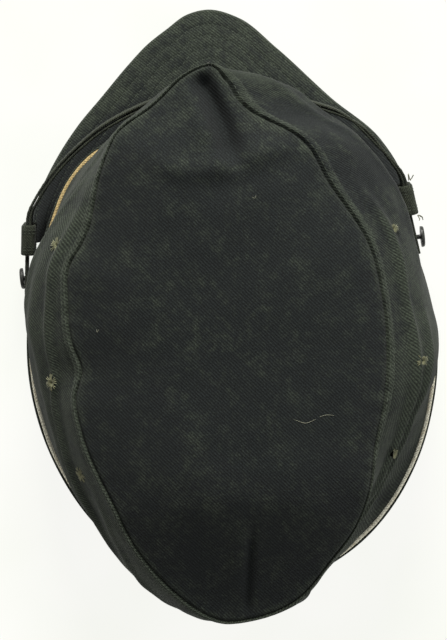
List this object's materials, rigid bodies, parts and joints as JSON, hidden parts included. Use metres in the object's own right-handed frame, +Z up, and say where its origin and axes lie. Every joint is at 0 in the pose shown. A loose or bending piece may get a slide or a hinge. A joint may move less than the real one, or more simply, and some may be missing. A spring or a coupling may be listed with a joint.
{
  "type": "bump cap",
  "caption": "Dark navy twill peaked cap with piped band, long pointed crown, stitched peak and chin strap, over a padded protective shell.",
  "frame": {"origin": "on the table that the cap rests on, under the middle of the cap's box", "axes": "+Z up, the peak points along -Y, the wearer's left is +X"},
  "size_m": [0.1746, 0.2562, 0.0965],
  "materials": {
    "twill": "worn cotton twill",
    "strap_cloth": "worn cotton twill, stitched",
    "piping_cloth": "aged cream cotton",
    "lining_cloth": "plain cotton",
    "stiffener": "pressed fibre",
    "sweatband_leather": "smooth, worn",
    "eyelet_thread": "buttonhole stitched",
    "button_plastic": "dull",
    "shell_plastic": "moulded, fine grain",
    "trim_rubber": "matt",
    "hook_and_loop": "hook and loop",
    "pad_foam": "foam faced with brushed cloth"
  },
  "bodies": {
    "cap": {"band_cover": "twill", "band_stiffener": "stiffener", "sweatband": "sweatband_leather", "piping": "piping_cloth", "side_panel_left": "twill", "side_panel_right": "twill", "crown_top": "twill", "lining_left": "lining_cloth", "lining_right": "lining_cloth", "lining_top": "lining_cloth", "eyelets_left": "eyelet_thread", "eyelets_right": "eyelet_thread", "visor_top_cover": "twill", "visor_board": "stiffener", "visor_under_cover": "twill", "button_left": "button_plastic", "button_right": "button_plastic", "shell": "shell_plastic", "shell_trim": "trim_rubber", "shell_tabs": "hook_and_loop", "pad_front": "pad_foam", "pad_rear": "pad_foam", "pad_top": "pad_foam", "pad_left": "pad_foam", "pad_right": "pad_foam"},
    "strap": {"chin_strap_outer": "strap_cloth", "chin_strap_inner": "strap_cloth"},
    "keeper_left": {"keeper_left": "strap_cloth"},
    "keeper_right": {"keeper_right": "strap_cloth"}
  },
  "joints": [
    {"name": "strap_swing", "type": "hinge", "parent": "cap", "child": "strap", "pos_m": [0, -0.0211, 0.0195], "axis": [1, 0, 0], "range_deg": [0, 85], "deforming": ["chin_strap_outer", "chin_strap_inner"]},
    {"name": "keeper_left_slide", "type": "slide", "parent": "strap", "child": "keeper_left", "axis": [0.1335, 0.9788, -0.155], "range_m": [0, 0.0055]},
    {"name": "keeper_right_slide", "type": "slide", "parent": "strap", "child": "keeper_right", "axis": [-0.1335, 0.9788, -0.155], "range_m": [0, 0.0055]}
  ]
}
